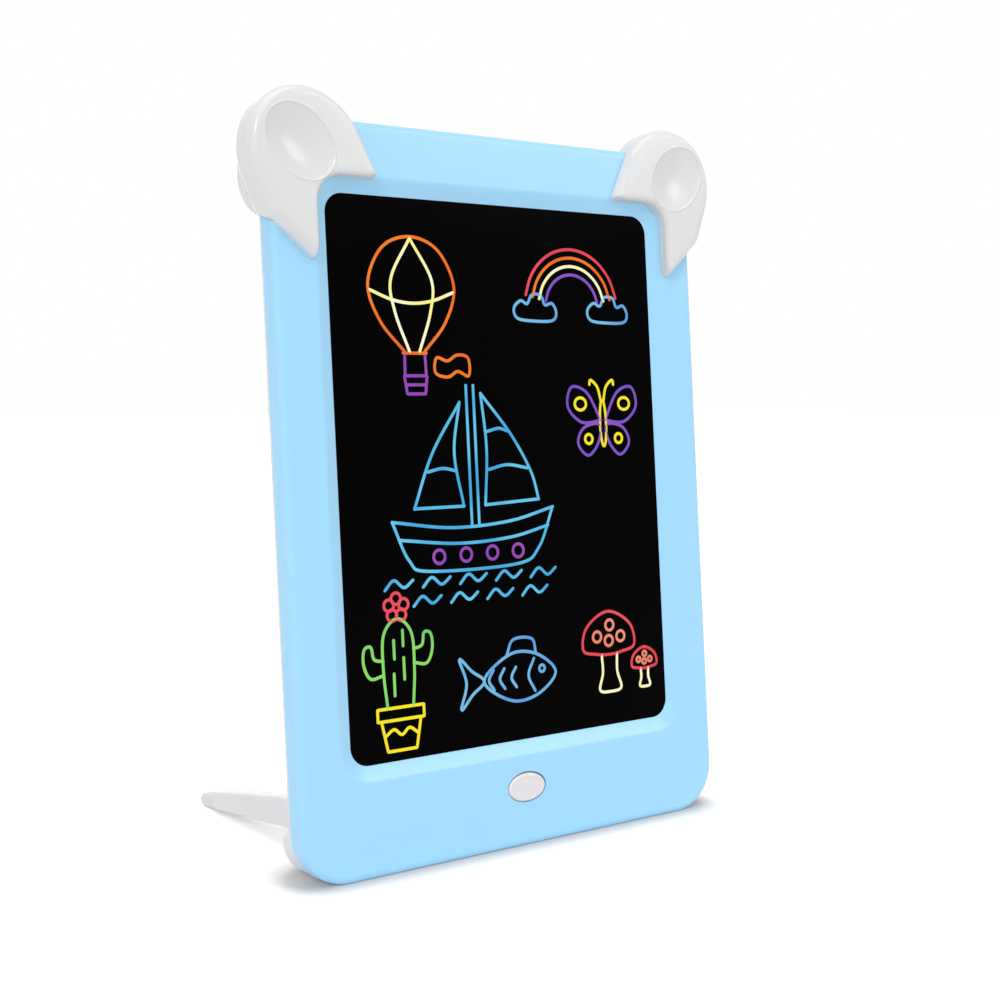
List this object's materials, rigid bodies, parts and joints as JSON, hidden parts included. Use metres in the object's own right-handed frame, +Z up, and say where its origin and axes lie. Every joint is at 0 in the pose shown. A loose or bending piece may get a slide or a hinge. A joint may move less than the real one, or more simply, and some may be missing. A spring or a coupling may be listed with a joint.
{
  "type": "writing board",
  "caption": "Free-standing drawing board with a lit black writing panel, rounded ears clipped on its top corners, a push button and fold-out rear legs.",
  "frame": {"origin": "middle of the back cover's flat sole, on the surface that the leaning board stands on", "axes": "+X to the right of someone facing the writing panel, +Y from the panel to the legs, +Z up"},
  "size_m": [0.1928, 0.1142, 0.252],
  "materials": {
    "bezel_blue": "satin, soft highlights on the rounded edges",
    "shell_white": "satin",
    "ear_white": "polished",
    "button_white": "polished",
    "panel_black": "polished, clear acrylic seen over black film",
    "film_black": "matt film",
    "circuit_green": "solder mask",
    "chip_black": "moulded",
    "lamp_white": "clear resin",
    "steel": "zinc plated",
    "contact_metal": "nickel plated",
    "cell_jacket": "plain printed sleeve",
    "tip_rubber": "matt",
    "wire_red": "sleeve",
    "wire_black": "sleeve",
    "wire_grey": "sleeve"
  },
  "bodies": {
    "board": {"front_bezel": "bezel_blue", "back_cover": "shell_white", "writing_panel": "panel_black", "black_backing": "film_black", "led_strip_left": "circuit_green", "led_left_1": "lamp_white", "led_left_2": "lamp_white", "led_left_3": "lamp_white", "wire_lamps_left": "wire_grey", "led_strip_right": "circuit_green", "led_right_1": "lamp_white", "led_right_2": "lamp_white", "led_right_3": "lamp_white", "wire_lamps_right": "wire_grey", "switch_body": "chip_black", "main_board": "circuit_green", "control_chip": "chip_black", "battery_cell_1": "cell_jacket", "battery_cell_2": "cell_jacket", "battery_cell_3": "cell_jacket", "contact_negative": "contact_metal", "contact_positive": "contact_metal", "contact_link_left": "contact_metal", "contact_link_right": "contact_metal", "wire_battery_positive": "wire_red", "wire_battery_negative": "wire_black", "case_screw_1": "steel", "case_screw_2": "steel", "case_screw_3": "steel", "case_screw_4": "steel", "case_screw_5": "steel", "case_screw_6": "steel", "left_ear_front": "ear_white", "left_ear_rear": "ear_white", "left_ear_screw": "steel", "leg_pin_left": "steel", "right_ear_front": "ear_white", "right_ear_rear": "ear_white", "right_ear_screw": "steel", "leg_pin_right": "steel"},
    "power_button": {"power_button": "button_white", "switch_plunger": "chip_black"},
    "battery_door": {"battery_door": "shell_white", "battery_door_screw": "steel"},
    "left_leg": {"stand_leg_left": "shell_white", "leg_tip_left": "tip_rubber"},
    "right_leg": {"stand_leg_right": "shell_white", "leg_tip_right": "tip_rubber"}
  },
  "joints": [
    {"name": "button_press", "type": "slide", "parent": "board", "child": "power_button", "axis": [0, 0.9969, -0.0785], "range_m": [0, 0.0008], "stiffness_N_per_m": 1500, "springref_m": -0.0004},
    {"name": "left_leg_fold", "type": "hinge", "parent": "board", "child": "left_leg", "pos_m": [-0.066, 0.00354, 0.01564], "axis": [1, 0, 0], "range_deg": [0, 91.8]},
    {"name": "right_leg_fold", "type": "hinge", "parent": "board", "child": "right_leg", "pos_m": [0.066, 0.00354, 0.01564], "axis": [1, 0, 0], "range_deg": [0, 91.8]},
    {"name": "battery_door_swing", "type": "hinge", "parent": "board", "child": "battery_door", "pos_m": [0, 0.01029, 0.03518], "axis": [-1, 0, 0], "range_deg": [0, 40]}
  ]
}
